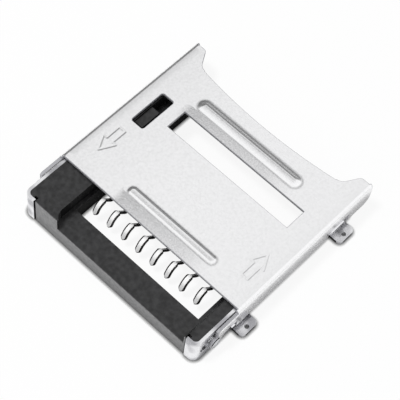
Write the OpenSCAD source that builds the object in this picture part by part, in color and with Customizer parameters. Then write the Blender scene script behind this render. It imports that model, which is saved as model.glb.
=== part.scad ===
// Hinged socket for a thumbnail-size memory card, to be soldered on a board.
// Lengths are in millimetres. X runs across the contacts, Y from the hinge end
// to the free end of the cover, and Z up from the board.

/* [Card] */
// Width of the card at its wide end
card_w = 11; // [10.8:0.1:11.2]
// Width of the narrow, contact end of the card
card_nose_w = 9.7; // [9.5:0.1:9.9]
// Clearance on each side between the card and the moulded walls
card_clear = 0.1; // [0.05:0.01:0.2]
// Length of the narrow end, from the card stops to where the card widens
card_nose_len = 6.2; // [5.8:0.1:6.6]
// Length over which the card widens
card_step_len = 0.65; // [0.4:0.05:0.9]
// Radius of the card's corners
card_corner_r = 0.7; // [0.6:0.05:0.9]

/* [Housing] */
// Width of the moulded housing
housing_w = 12.68; // [12.4:0.02:13]
// Length of the moulded housing
housing_len = 12.85; // [12.5:0.05:13.3]
// Height of the moulded side walls
housing_h = 2.04; // [1.9:0.02:2.3]
// Height of the ledge that the card lies on
ledge_h = 1.13; // [1:0.01:1.3]
// Set-back of the moulded front from the face of the bracket legs
front_setback = 0.05; // [0.02:0.01:0.1]
// Depth of the plateau in front of the contact window
plateau_len = 1.58; // [1.3:0.02:1.9]
// Length of the contact window
window_len = 3.37; // [3.1:0.01:3.6]
// Width of the ledge at the right of the contact window
right_ledge = 0.4; // [0.3:0.05:0.6]
// Width of the ledge at the left of the contact window
left_ledge = 0.2; // [0.1:0.05:0.4]
// Length of the bar that carries the contacts
contact_bar_len = 2.4; // [2:0.1:2.7]
// Length of the rear window
rear_window_len = 4.5; // [4.2:0.1:4.7]
// Width of the ledge at the left of the rear window
rear_left_ledge = 1.15; // [0.9:0.05:1.2]
// Width of the ledge at the right of the rear window
rear_right_ledge = 0.7; // [0.5:0.05:0.9]
// Distance from the front of the housing to the narrow end of the card
card_setback = 0.5; // [0.4:0.05:0.7]
// Width of the card stop, out from the left block
stop_w = 0.34; // [0.2:0.02:0.5]
// Length of the card stop, which follows the card's corner back to the block
stop_len = 0.72; // [0.7:0.01:0.9]
// Length of the keying rib in the card's side notch
key_len = 1.45; // [1.2:0.05:1.6]
// Width of the keying rib, out from the left wall
key_w = 0.6; // [0.4:0.05:0.7]
// Height of the keying rib above the ledge
key_h = 0.77; // [0.6:0.01:0.85]
// Gap between the widened pocket and the keying rib
key_gap = 0.3; // [0.2:0.05:0.5]
// Lead-in chamfer on the right wall's upper inner edge
lead_in = 0.1; // [0.05:0.01:0.2]

/* [Contacts] */
// Number of contacts
contact_count = 8; // [8:1:8]
// Spacing of the contacts
pitch = 1.1; // [1.05:0.01:1.12]
// Place of the first contact, left of the middle
first_contact = 3.39; // [3.3:0.01:3.5]
// Thickness of the contact strip
contact_t = 0.15; // [0.1:0.01:0.18]
// Width of the contact strip in the bar and at the solder tail
tail_w = 0.4; // [0.3:0.02:0.5]
// Width of the neck of the spring
neck_w = 0.24; // [0.2:0.02:0.3]
// Width of the rounded spoon
spoon_w = 0.34; // [0.32:0.02:0.4]
// Length of the spoon, from its tip to the neck, seen from above
spoon_len = 0.85; // [0.75:0.05:0.95]
// Length over which the spoon narrows to the neck
spoon_taper_len = 0.12; // [0.08:0.01:0.2]
// Length of the neck
neck_len = 0.6; // [0.4:0.05:0.8]
// Length of the solder tail behind the bar
tail_len = 1.6; // [1.3:0.05:1.9]
// Height of the middle of the strip where it passes through the bar
run_z = 0.525; // [0.45:0.005:0.6]
// Radius of the bend from the bar into the spring
spring_bend_r = 0.7; // [0.6:0.05:0.9]
// Slope of the spring out of the bar
spring_slope = 6; // [3:1:8]
// Length of the low, straight part of the spring
spring_len = 1.06; // [0.95:0.01:1.15]
// Radius of the bend from the spring up into the neck
neck_bend_r = 0.35; // [0.3:0.01:0.4]
// Slope of the neck
neck_slope = 50; // [46:1:54]
// Length of the straight part of the neck
neck_rise_len = 0.69; // [0.6:0.01:0.75]
// Radius of the bend from the neck over on to the spoon
crest_r = 0.15; // [0.12:0.01:0.18]
// Angle below level at which the spoon's own bend starts
spoon_start = 12; // [6:1:16]
// Radius of the bend along the spoon
spoon_bend_r = 0.58; // [0.5:0.01:0.65]
// Angle by which the spoon turns down past level
spoon_fall = 63; // [55:1:70]
// Length of the straight tip
tip_len = 0.45; // [0.35:0.01:0.55]

/* [Brackets] */
// Thickness of the bracket sheet
bracket_t = 0.18; // [0.14:0.01:0.22]
// Outer radius of the bends at the corners
bracket_bend_r = 0.45; // [0.35:0.01:0.5]
// Length of the legs across the front and the rear of the housing
leg_len = 0.77; // [0.6:0.01:1]
// Gap between a leg's end and the moulding beside it
leg_gap = 0.06; // [0.03:0.01:0.1]
// Length of the solder tabs, out from the bracket
tab_len = 0.85; // [0.6:0.05:1]
// Width of each solder tab
tab_w = 1.3; // [1.1:0.05:1.5]
// Place of the front solder tab's near edge
front_tab_y = 2.9; // [2.7:0.05:3.2]
// Place of the rear solder tab's near edge
rear_tab_y = 11; // [10.6:0.05:11.2]
// Radius of the solder tabs' outer corners
tab_corner_r = 0.28; // [0.15:0.01:0.35]
// Radius of the hole in each solder tab
tab_hole_r = 0.14; // [0.1:0.01:0.18]
// Length and width of the well in the moulding behind a front leg's end
leg_well = 0.16; // [0.1:0.01:0.25]
// Length of the moulded lug that locks each bracket
lug_len = 1.2; // [0.8:0.1:1.6]
// Height of the moulded lug
lug_h = 0.6; // [0.4:0.05:0.7]

/* [Hinge] */
// Radius of the hinge pin
pin_r = 0.28; // [0.24:0.01:0.3]
// Radius of the pin's inner head
pin_head_r = 0.39; // [0.37:0.01:0.4]
// Thickness of the pin's inner head
pin_head_t = 0.08; // [0.06:0.01:0.1]
// Radius of the pin's riveted outer end
rivet_r = 0.36; // [0.34:0.01:0.38]
// Thickness of the pin's riveted outer end
rivet_t = 0.05; // [0.04:0.01:0.08]
// Radial clearance of the pin in the cover's arm
pin_clear = 0.02; // [0.01:0.01:0.04]
// Radial clearance of the pin in the bracket's slot
slot_clear = 0.06; // [0.03:0.01:0.07]
// Gap between the pin's inner head and the bracket
head_gap = 0.06; // [0.04:0.01:0.08]
// Height of the pin above the board
pin_z = 1; // [0.95:0.01:1.1]
// Distance from the bracket's front face to the pin, cover unlocked
pin_y = 1.35; // [1.3:0.01:1.4]
// Distance that the cover slides between unlocked and locked
slide_travel = 0.6; // [0.5:0.01:0.65]

/* [Cover] */
// Thickness of the cover sheet
cover_t = 0.2; // [0.15:0.01:0.22]
// Gap between the brackets and the cover's flanges
side_gap = 0.06; // [0.04:0.01:0.1]
// Gap between the housing and the cover's underside
top_gap = 0.06; // [0.04:0.01:0.12]
// Outer radius of the bends along the cover's sides
cover_bend_r = 0.28; // [0.25:0.01:0.35]
// Place of the cover plate's front edge
cover_front_y = 3.1; // [3:0.02:3.2]
// Place of the flanges' front edge
flange_front_y = 2.97; // [2.9:0.01:3.05]
// Length of the whole socket, to the far end of the flanges
total_len = 14.1; // [13.9:0.05:14.4]
// Height of the flanges' lower edge above the board
flange_z = 0.67; // [0.55:0.01:0.75]
// Cut-back of the flanges' far lower corner
flange_corner = 0.6; // [0.4:0.05:0.8]
// Distance from the far end to the middle of the curved far edge
edge_hollow = 1.6; // [1.4:0.05:1.8]
// Radius of the curved far edge
edge_r = 35; // [30:1:40]
// Width of each ear at its root, beside the curved edge
ear_root_w = 1.45; // [1.3:0.05:1.6]
// Width of each ear at its tip
ear_tip_w = 0.8; // [0.6:0.05:1]
// Radius of the corner between ear and curved edge
ear_fillet = 0.6; // [0.4:0.05:0.7]
// Distance from the far end to the tips of the ears
ear_setback = 0.1; // [0.05:0.05:0.2]
// Height of the hinge arms that reach forward from the flanges
arm_h = 0.8; // [0.6:0.05:0.85]
// Distance from the pin back to the front edge of each arm
arm_setback = 0.1; // [0.05:0.01:0.15]
// Radius of each arm's upper front corner
arm_corner_r = 0.2; // [0.1:0.05:0.3]
// Radius of the eye that hangs from each arm, round the pin
eye_r = 0.42; // [0.4:0.01:0.45]
// Lean of the eye's rear edge where it widens into the arm
eye_lean = 20; // [10:1:30]

/* [Lock] */
// Place of the lock tongue's near edge
tongue_y = 11; // [10.9:0.05:11.1]
// Width of the lock tongue
tongue_w = 0.9; // [0.7:0.05:1]
// Length of the lock tongue inside the bracket
tongue_len = 0.14; // [0.08:0.01:0.18]
// Height of the top of the lock tongue
tongue_z = 1.35; // [1.3:0.01:1.4]
// Clearance around the lock tongue
lock_clear = 0.1; // [0.08:0.01:0.12]
// Relief cut in the flange in front of the tongue
relief_front = 0.45; // [0.2:0.05:0.6]
// Relief cut in the flange behind the tongue
relief_rear = 0.3; // [0.2:0.05:0.5]

/* [Cut-outs] */
// Left edge of the long window, from the middle
cut_left = -3.9; // [-4:0.05:-3.5]
// Right edge of the long window, from the middle
cut_right = 5.14; // [4.9:0.02:5.3]
// Near edge of the long window
cut_y = 8.62; // [8.5:0.01:8.9]
// Width of the long window
cut_w = 1.42; // [1.2:0.01:1.5]
// Left edge of the slot over the keying rib, from the middle
key_slot_x = -5.66; // [-5.76:0.01:-5.5]
// Width of the slot over the keying rib
key_slot_w = 0.9; // [0.7:0.01:0.95]
// Near edge of the slot over the keying rib
key_slot_y = 7.47; // [7.4:0.01:7.6]
// Length of the slot over the keying rib
key_slot_len = 2.58; // [2.3:0.01:2.6]
// Radius of the corners of the slot over the keying rib
key_slot_r = 0.14; // [0.05:0.01:0.2]

/* [Beads and arrows] */
// Width of the narrow bead near the hinge
near_bead_w = 0.45; // [0.35:0.05:0.6]
// Height of the narrow bead
near_bead_h = 0.12; // [0.08:0.01:0.16]
// Place of the narrow bead
near_bead_y = 4.1; // [4:0.05:4.4]
// Left end of the narrow bead, from the middle
near_bead_left = -2.59; // [-3:0.01:-2]
// Right end of the narrow bead, from the middle
near_bead_right = 3.92; // [3.5:0.01:4.2]
// Width of the wide bead near the free end
far_bead_w = 0.96; // [0.7:0.02:1]
// Height of the wide bead
far_bead_h = 0.2; // [0.14:0.01:0.24]
// Place of the wide bead
far_bead_y = 11.2; // [11:0.02:11.4]
// Left end of the wide bead, from the middle
far_bead_left = -3.78; // [-4.2:0.01:-3.4]
// Right end of the wide bead, from the middle
far_bead_right = 3.95; // [3.5:0.01:4.2]
// Width of the stamped outline of the arrows
arrow_line = 0.1; // [0.06:0.01:0.14]
// Depth of the stamped outline of the arrows
arrow_depth = 0.04; // [0.02:0.01:0.06]
// Length of an arrow
arrow_len = 1.9; // [1.7:0.1:2]
// Length of an arrow's head
arrow_head_len = 0.9; // [0.7:0.05:1]
// Width of an arrow's head
arrow_head_w = 0.95; // [0.8:0.05:1]
// Width of an arrow's shaft
arrow_shaft_w = 0.45; // [0.35:0.05:0.5]
// Distance from the middle to an arrow's centre line
arrow_x = 5.54; // [5.4:0.02:5.6]
// Place of the nearer end of both arrows
arrow_y = 4.75; // [4.6:0.05:4.9]

/* [Hidden] */
$fn = 48;
eps = 0.01;
over = 1;

// Housing, worked out from the card
housing_x = housing_w / 2;
front_y = front_setback;
rear_y = front_y + housing_len;
wall_x = card_w / 2 + card_clear;
nose_left_x = card_w / 2 - card_nose_w - card_clear;
stop_y = front_y + stop_len;
nose_end_y = front_y + card_setback + card_nose_len;
widened_y = nose_end_y + card_step_len;
window_y = front_y + plateau_len;
bar_y = window_y + window_len;
bar_end_y = bar_y + contact_bar_len;
rear_window_end_y = bar_end_y + rear_window_len;
key_y = widened_y + key_gap;

// Brackets, wrapped round the housing
plate_in = housing_x;
plate_out = plate_in + bracket_t;
bend_in_r = bracket_bend_r - bracket_t;
leg_x = plate_out - leg_len;
leg_rear_y = rear_y + bracket_t;
lug_y = (bar_y + bar_end_y) / 2 + contact_t;
lug_z = (ledge_h - lug_h) / 2 + lug_h / 2;

// Hinge
slot_r = pin_r + slot_clear;
pin_pocket_depth = pin_head_t + 2 * head_gap;

// Cover
flange_in = plate_out + side_gap;
flange_out = flange_in + cover_t;
plate_under = housing_h + top_gap;
plate_top = plate_under + cover_t;
ear_tip_y = total_len - ear_setback;
edge_y = total_len - edge_hollow;
tongue_tip_x = plate_in - tongue_len;
lock_y = tongue_y - lock_clear;
lock_end_y = tongue_y + tongue_w + lock_clear;
lock_floor_z = tongue_z - cover_t - lock_clear;
hook_z = tongue_z + lock_clear;

// Everything is drawn from the front face, then centred on the footprint
module centred() {
    translate([0, -total_len / 2, 0]) children();
}

module right_and_left() {
    children();
    mirror([1, 0, 0]) children();
}

// A drawing in Y and Z, extruded across X from x0 to x1
module across(x0, x1) {
    translate([x0, 0, 0])
        rotate([90, 0, 90])
            linear_extrude(height = x1 - x0) children();
}

// A drawing in X and Z, extruded along Y from y0 to y1
module along(y0, y1) {
    translate([0, y1, 0])
        rotate([90, 0, 0])
            linear_extrude(height = y1 - y0) children();
}

// A drawing in X and Y, extruded up from z0 to z1
module upwards(z0, z1) {
    translate([0, 0, z0])
        linear_extrude(height = z1 - z0) children();
}

module block(low, high) {
    translate(low) cube(high - low);
}

module area(low, high) {
    translate(low) square(high - low);
}

// A rectangle with its four corners rounded
module rounded_area(low, high, r) {
    area([low[0] + r, low[1]], [high[0] - r, high[1]]);
    area([low[0], low[1] + r], [high[0], high[1] - r]);
    for (x = [low[0] + r, high[0] - r], y = [low[1] + r, high[1] - r])
        translate([x, y]) circle(r = r);
}

// The track of a bent strip: from a start point and heading, each move is a
// straight length followed by a bend of a radius and an angle
function ahead(p, d) = [p[0] + d * cos(p[2]), p[1] + d * sin(p[2]), p[2]];
function turned(p, r, a) = let (s = sign(a), c = p[2] + 90 * s)
    [p[0] + r * cos(c) - r * cos(c + a), p[1] + r * sin(c) - r * sin(c + a), p[2] + a];
function bend_steps(a) = max(1, round(abs(a) / 11));
function track(moves, p, i = 0) = i == len(moves) ? [p] :
    let (q = ahead(p, moves[i][0]), r = moves[i][1], a = moves[i][2], n = bend_steps(a))
    concat([p], [for (k = [0 : n - 1]) turned(q, r, a * k / n)],
           track(moves, turned(q, r, a), i + 1));
function beside(p, d) = [p[0] - d * sin(p[2]), p[1] + d * cos(p[2])];

// The strip that follows a track, as an outline of even thickness
module strip(points, t) {
    last = len(points) - 1;
    polygon(concat([for (p = points) beside(p, t / 2)],
                   [for (i = [last : -1 : 0]) beside(points[i], -t / 2)]));
}

// A line of even width drawn round a closed outline
module outline(points, w) {
    n = len(points);
    for (i = [0 : n - 1]) {
        p = points[i];
        d = points[(i + 1) % n] - p;
        translate(p)
            rotate(atan2(d[1], d[0]))
                translate([-w / 2, -w / 2]) square([norm(d) + w, w]);
    }
}

// Housing

// The outside of the moulding, with a step behind each bracket leg
module housing_plan() {
    area([-leg_x + leg_gap, front_y], [leg_x - leg_gap, rear_y]);
    rounded_area([-housing_x, bracket_t], [housing_x, rear_y], bend_in_r);
}

// The space that the card lies in, open at the front, with a stop at the left
// whose rear face follows the corner of the card
module card_pocket_plan() {
    steps = 6;
    sweep = acos(1 - stop_w / card_corner_r);
    stop_face = [for (k = [steps : -1 : 0]) let (a = sweep * k / steps)
        [nose_left_x + card_corner_r * (1 - cos(a)), stop_y - card_corner_r * sin(a)]];
    polygon(concat([[nose_left_x + stop_w, front_y - over]], stop_face,
                   [[nose_left_x, nose_end_y], [-wall_x, widened_y], [-wall_x, rear_y + over],
                    [wall_x, rear_y + over], [wall_x, front_y - over]]));
}

module contact_slots() {
    for (i = [0 : contact_count - 1])
        block([contact_x(i) - tail_w / 2, bar_y - over, run_z - contact_t / 2],
              [contact_x(i) + tail_w / 2, bar_end_y + over, run_z + contact_t / 2]);
}

// The room for the hinge pin's inner head over its whole slide
module pin_pocket() {
    reach = pin_head_r + head_gap;
    block([housing_x - pin_pocket_depth, pin_y - slide_travel - reach, pin_z - reach],
          [housing_x + eps, pin_y + reach, pin_z + reach]);
}

// The room for the lock tongue, open at the top
module tongue_pocket() {
    block([tongue_tip_x - lock_clear, lock_y - slide_travel, lock_floor_z],
          [housing_x + eps, lock_end_y, housing_h + eps]);
}

// The well in the moulding behind the end of a front leg
module leg_well_cut() {
    block([leg_x - leg_gap - eps, bracket_t - eps, ledge_h],
          [leg_x + leg_well, bracket_t + leg_well, housing_h + eps]);
}

module lug() {
    block([housing_x - eps, lug_y - lug_len / 2, lug_z - lug_h / 2],
          [plate_out, lug_y + lug_len / 2, lug_z + lug_h / 2]);
}

module housing() {
    color("#2b2b2d") centred() {
        difference() {
            upwards(0, housing_h) housing_plan();
            upwards(ledge_h, housing_h + eps) card_pocket_plan();
            upwards(-eps, ledge_h + eps) {
                area([nose_left_x + left_ledge, window_y], [wall_x - right_ledge, bar_y]);
                area([-wall_x + rear_left_ledge, bar_end_y],
                     [wall_x - rear_right_ledge, rear_window_end_y]);
            }
            contact_slots();
            along(front_y - eps, rear_y + eps)
                polygon([[wall_x - eps, housing_h + eps], [wall_x + lead_in, housing_h + eps],
                         [wall_x + lead_in, housing_h], [wall_x, housing_h - lead_in],
                         [wall_x - eps, housing_h - lead_in]]);
            right_and_left() {
                pin_pocket();
                tongue_pocket();
                leg_well_cut();
            }
        }
        upwards(ledge_h - eps, ledge_h + key_h)
            area([-wall_x - eps, key_y], [-wall_x + key_w, key_y + key_len]);
        right_and_left() lug();
    }
}

// Contacts

function contact_x(i) = -first_contact + i * pitch;

// Side view: solder tail, step up to the bar, run through the bar, low spring, steep
// neck, bend over the crest, spoon and tip
function contact_track() =
    let (tail_bend_r = (run_z - contact_t / 2) / 2,
         start = [bar_end_y + tail_len, contact_t / 2, 180],
         tail_flat = tail_len - 2 * tail_bend_r - contact_t / 2,
         run = contact_bar_len + contact_t,
         bent = track([[tail_flat, tail_bend_r, -90], [0, tail_bend_r, 90],
                       [run, spring_bend_r, -spring_slope],
                       [spring_len, neck_bend_r, spring_slope - neck_slope],
                       [neck_rise_len, crest_r, neck_slope + spoon_start],
                       [0, spoon_bend_r, spoon_fall - spoon_start]], start))
    concat(bent, [ahead(bent[len(bent) - 1], tip_len)]);

contact_tip = contact_track()[len(contact_track()) - 1];
contact_tip_y = contact_tip[0] - contact_t / 2;

// Plan: a spoon, a neck and a straight strip, drawn down the right side and back up
// the left. The spoon's tip is flattened in plan, so it is round along the falling strip.
module contact_plan() {
    spoon_r = spoon_w / 2;
    tip_arc = [for (a = [180 : 15 : 360])
        [spoon_r * cos(a), contact_tip_y + spoon_r * cos(spoon_fall) * (1 + sin(a))]];
    neck_y = contact_tip_y + spoon_len;
    side = [[spoon_r, neck_y - spoon_taper_len], [neck_w / 2, neck_y],
            [neck_w / 2, neck_y + neck_len], [tail_w / 2, bar_y], [tail_w / 2, bar_end_y + tail_len]];
    polygon(concat(tip_arc, side, [for (i = [len(side) - 1 : -1 : 0]) [-side[i][0], side[i][1]]]));
}

module contact(i) {
    color("#c9c6bd") centred()
        translate([contact_x(i), 0, 0])
            intersection() {
                across(-spoon_w, spoon_w) strip(contact_track(), contact_t);
                upwards(-over, housing_h + over) contact_plan();
            }
}

// Brackets

// Plan of one bracket: a leg across the front, the side plate and a rear leg
module bracket_plan() {
    difference() {
        intersection() {
            rounded_area([-plate_out, 0], [plate_out, leg_rear_y], bracket_bend_r);
            area([leg_x, -eps], [plate_out + eps, leg_rear_y + eps]);
        }
        rounded_area([-plate_in, bracket_t], [plate_in, rear_y], bend_in_r);
    }
}

// Section of a solder tab: the plate's foot turns outwards on to the board
module tab_section() {
    foot_r = bracket_t + bracket_t / 2;
    difference() {
        union() {
            translate([plate_in + foot_r, foot_r]) circle(r = foot_r);
            area([plate_in, foot_r], [plate_out, foot_r + bracket_t]);
        }
        translate([plate_in + foot_r, foot_r]) circle(r = foot_r - bracket_t);
        area([plate_in + foot_r, -eps], [plate_out + over, over]);
        area([plate_out, foot_r], [plate_out + over, over]);
    }
    area([plate_in + foot_r - eps, 0], [plate_out + tab_len, bracket_t]);
}

module tab(y) {
    tip = plate_out + tab_len;
    intersection() {
        along(y, y + tab_w) tab_section();
        upwards(-eps, over)
            difference() {
                rounded_area([plate_in - over, y], [tip, y + tab_w], tab_corner_r);
                translate([tip - tab_corner_r, y + tab_w / 2]) circle(r = tab_hole_r);
            }
    }
}

// The holes in the side plate, seen from the side
module plate_holes() {
    translate([pin_y, pin_z]) circle(r = slot_r);
    translate([pin_y - slide_travel, pin_z]) circle(r = slot_r);
    area([pin_y - slide_travel, pin_z - slot_r], [pin_y, pin_z + slot_r]);
    area([lock_y, lock_floor_z], [lock_end_y, housing_h + over]);
    area([lock_y - slide_travel, lock_floor_z], [lock_y + eps, hook_z]);
    area([lug_y - lug_len / 2, lug_z - lug_h / 2], [lug_y + lug_len / 2, lug_z + lug_h / 2]);
}

module bracket() {
    foot_clear = bracket_t + bracket_t / 2;
    difference() {
        upwards(0, housing_h) bracket_plan();
        across(plate_in - leg_len, plate_out + over) plate_holes();
        for (y = [front_tab_y, rear_tab_y])
            block([plate_in - eps, y, -eps], [plate_out + eps, y + tab_w, foot_clear]);
    }
    tab(front_tab_y);
    tab(rear_tab_y);
}

module bracket_right() {
    color("#d6d6d8") centred() bracket();
}

module bracket_left() {
    color("#d6d6d8") centred() mirror([1, 0, 0]) bracket();
}

// Hinge pins

module hinge_pin() {
    inner_x = housing_x - head_gap;
    outer_x = flange_out + head_gap / 2;
    translate([0, pin_y, pin_z])
        rotate([0, 90, 0]) {
            translate([0, 0, inner_x - pin_head_t])
                cylinder(r = pin_r, h = outer_x - inner_x + pin_head_t + rivet_t);
            translate([0, 0, inner_x - pin_head_t])
                cylinder(r = pin_head_r, h = pin_head_t);
            translate([0, 0, outer_x])
                cylinder(r = rivet_r, h = rivet_t);
        }
}

module hinge_pin_right() {
    color("#bfc1c4") centred() hinge_pin();
}

module hinge_pin_left() {
    color("#bfc1c4") centred() mirror([1, 0, 0]) hinge_pin();
}

// Cover

// Section of the folded sheet: the plate with a flange down each side
module cover_section() {
    difference() {
        rounded_area([-flange_out, -over], [flange_out, plate_top], cover_bend_r);
        rounded_area([-flange_in, -2 * over], [flange_in, plate_under], cover_bend_r - cover_t);
    }
}

// The right half of the curved far edge and the inner side of its ear: from the
// middle along the shallow arc, round the corner, then up the ear
function far_edge_points() =
    let (root_x = flange_out - ear_root_w,
         root_y = edge_y + edge_r - sqrt(edge_r * edge_r - root_x * root_x),
         tip_x = flange_out - ear_tip_w,
         lean = atan2(ear_tip_y - root_y, tip_x - root_x),
         corner = [root_x - ear_fillet * tan(lean / 2), root_y + ear_fillet],
         sweep = asin(corner[0] / edge_r),
         edge_steps = 8,
         corner_steps = 6)
    concat([for (k = [0 : edge_steps]) let (a = sweep * k / edge_steps)
                [edge_r * sin(a), edge_y + edge_r - edge_r * cos(a)]],
           [for (k = [1 : corner_steps]) let (a = lean * k / corner_steps - 90)
                corner + ear_fillet * [cos(a), sin(a)]],
           [[tip_x, ear_tip_y]]);

module far_edge_cut() {
    points = far_edge_points();
    last = len(points) - 1;
    polygon(concat(points,
                   [[flange_out + over, ear_tip_y], [flange_out + over, total_len + over],
                    [-flange_out - over, total_len + over], [-flange_out - over, ear_tip_y]],
                   [for (i = [last : -1 : 1]) [-points[i][0], points[i][1]]]));
}

module cover_plan() {
    difference() {
        area([-flange_out - over, cover_front_y], [flange_out + over, total_len]);
        intersection() {
            far_edge_cut();
            area([-flange_in, 0], [flange_in, total_len + over]);
        }
        area([cut_left, cut_y], [cut_right, cut_y + cut_w]);
        rounded_area([key_slot_x, key_slot_y],
                     [key_slot_x + key_slot_w, key_slot_y + key_slot_len], key_slot_r);
    }
    right_and_left()
        area([flange_in, 0], [flange_out + over, cover_front_y + eps]);
}

// The hinge arm, seen from the side: a bar that reaches forward from the flange,
// with a round eye hanging from its front end
module arm_side() {
    arm_y = pin_y + arm_setback;
    arm_low = plate_under - arm_h;
    steps = 24;
    top = acos(arm_setback / eye_r);
    eye = [for (k = [0 : steps]) let (a = top + (360 - eye_lean - top) * k / steps)
        [pin_y + eye_r * cos(a), pin_z + eye_r * sin(a)]];
    web_y = eye[steps][0] + (arm_low - eye[steps][1]) * tan(eye_lean);
    corner = [for (a = [90 : 15 : 180])
        [arm_y + arm_corner_r * (1 + cos(a)), plate_under - arm_corner_r * (1 - sin(a))]];
    polygon(concat(eye, [[web_y, arm_low], [flange_front_y + eps, arm_low],
                         [flange_front_y + eps, plate_under]], corner));
}

// The flange with its arm, seen from the side
module cover_side() {
    difference() {
        area([flange_front_y, flange_z], [total_len, plate_top + over]);
        translate([total_len - flange_corner, flange_z + flange_corner])
            difference() {
                area([0, -flange_corner - eps], [flange_corner + eps, 0]);
                circle(r = flange_corner);
            }
        area([tongue_y - relief_front, 0], [tongue_y + tongue_w + relief_rear, tongue_z]);
    }
    arm_side();
}

// A lock tongue, bent inwards from the top of the relief in the flange
module tongue() {
    along(tongue_y, tongue_y + tongue_w) {
        area([tongue_tip_x, tongue_z - cover_t], [flange_in + eps, tongue_z]);
        intersection() {
            translate([flange_in, tongue_z]) circle(r = cover_t);
            area([flange_in, tongue_z - cover_t], [flange_out, tongue_z + eps]);
        }
        area([flange_in, tongue_z - eps], [flange_out, tongue_z + cover_t]);
    }
}

// A pressed bead: the top of a long round-ended bar that stands out of the sheet
module bead(left, right, y, w, h, grow) {
    bar_r = (w * w / 4 + h * h) / (2 * h);
    end = sqrt(bar_r * bar_r - pow(bar_r - h, 2));
    translate([0, y, plate_top + h - bar_r]) {
        translate([left + end, 0, 0])
            rotate([0, 90, 0]) cylinder(r = bar_r + grow, h = right - left - 2 * end);
        translate([left + end, 0, 0]) sphere(r = bar_r + grow);
        translate([right - end, 0, 0]) sphere(r = bar_r + grow);
    }
}

module beads(grow) {
    bead(near_bead_left, near_bead_right, near_bead_y, near_bead_w, near_bead_h, grow);
    bead(far_bead_left, far_bead_right, far_bead_y, far_bead_w, far_bead_h, grow);
}

// An arrow that points along +Y from the origin
function arrow_points() =
    [[-arrow_shaft_w / 2, 0], [arrow_shaft_w / 2, 0],
     [arrow_shaft_w / 2, arrow_len - arrow_head_len], [arrow_head_w / 2, arrow_len - arrow_head_len],
     [0, arrow_len], [-arrow_head_w / 2, arrow_len - arrow_head_len],
     [-arrow_shaft_w / 2, arrow_len - arrow_head_len]];

module arrows() {
    upwards(plate_top - arrow_depth, plate_top + over) {
        translate([arrow_x, arrow_y]) outline(arrow_points(), arrow_line);
        translate([-arrow_x, arrow_y + arrow_len])
            rotate(180) outline(arrow_points(), arrow_line);
    }
}

module cover() {
    color("#e4e4e6") centred()
        difference() {
            union() {
                intersection() {
                    along(0, total_len) cover_section();
                    upwards(-over, plate_top + over) cover_plan();
                    across(-flange_out - over, flange_out + over) cover_side();
                }
                intersection() {
                    beads(0);
                    block([-wall_x, 0, plate_under], [wall_x, total_len, plate_top + over]);
                }
                right_and_left() tongue();
            }
            intersection() {
                beads(-cover_t);
                block([-wall_x, 0, 0], [wall_x, total_len, plate_top + over]);
            }
            arrows();
            translate([-flange_out - over, pin_y, pin_z])
                rotate([0, 90, 0]) cylinder(r = pin_r + pin_clear, h = 2 * (flange_out + over));
        }
}

housing();
contact(0);  // contact_1
contact(1);  // contact_2
contact(2);  // contact_3
contact(3);  // contact_4
contact(4);  // contact_5
contact(5);  // contact_6
contact(6);  // contact_7
contact(7);  // contact_8
bracket_left();
bracket_right();
hinge_pin_left();
hinge_pin_right();
cover();
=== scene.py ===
"""A hinged memory card socket: a moulded housing, eight spring contacts, two side brackets,
two hinge pins and a folded sheet cover. The model's frame is in metres: X across the
contacts, Y from the hinge end to the free end, Z up from the board. Shapes are worked out
in millimetres, with Y from the front faces of the brackets, and placed in that frame."""
import math

import bmesh
import bpy
import numpy as np
from mathutils import Matrix, Vector
from mathutils.geometry import delaunay_2d_cdt


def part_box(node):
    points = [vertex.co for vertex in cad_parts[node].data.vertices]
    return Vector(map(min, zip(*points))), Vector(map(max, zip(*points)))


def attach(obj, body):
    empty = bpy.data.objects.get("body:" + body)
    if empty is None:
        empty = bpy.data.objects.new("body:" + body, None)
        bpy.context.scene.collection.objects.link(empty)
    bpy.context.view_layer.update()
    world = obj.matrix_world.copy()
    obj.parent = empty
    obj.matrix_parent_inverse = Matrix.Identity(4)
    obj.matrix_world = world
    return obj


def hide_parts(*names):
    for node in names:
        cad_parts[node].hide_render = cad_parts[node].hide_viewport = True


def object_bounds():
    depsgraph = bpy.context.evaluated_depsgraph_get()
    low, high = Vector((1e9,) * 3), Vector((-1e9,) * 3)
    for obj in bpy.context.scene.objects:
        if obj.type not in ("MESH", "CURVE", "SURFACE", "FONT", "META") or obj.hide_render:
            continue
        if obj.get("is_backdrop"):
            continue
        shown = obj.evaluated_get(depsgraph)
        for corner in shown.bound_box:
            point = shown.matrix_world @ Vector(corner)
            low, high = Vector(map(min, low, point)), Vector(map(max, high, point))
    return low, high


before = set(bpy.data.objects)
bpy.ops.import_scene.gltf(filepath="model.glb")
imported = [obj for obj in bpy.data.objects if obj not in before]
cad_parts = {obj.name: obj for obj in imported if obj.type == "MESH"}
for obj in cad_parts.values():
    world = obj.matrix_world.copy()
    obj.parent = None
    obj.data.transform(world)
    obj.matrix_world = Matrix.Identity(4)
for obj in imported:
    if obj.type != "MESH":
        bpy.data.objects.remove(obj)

MM = 0.001
cad_low, cad_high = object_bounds()
scene = bpy.context.scene


# Housing: one moulding in black liquid crystal polymer filled with glass fibre, open at the
# hinge end, with a bar across its middle that the contacts are pushed into.
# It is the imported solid, merged, with its edges rounded as far as a mould rounds them.
housing_edge_r, least_turn = 0.045, 28
merge_gap, flat_within, across_from = 0.0005, 0.5, 0.99
# The moulding's own grain is finer than the picture's pixels, which are about 0.06 mm, so
# it is drawn as coarse as it needs to show.
flow_mark, grain, grain_depth = 0.3, 0.12, 0.012
# Painted light on the front face, in noisy streaks, less towards its foot as painted shade: the face's Y,
# how far behind it the paint ends, the streaks' size, its share at the foot and the height from which it
# is full.
housing_front_y, lit_front_depth, lit_front_streak_size, lit_front_foot_share, lit_front_full_z = 0.05, 0.05, 0.2, 0.55, 1.0


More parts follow.
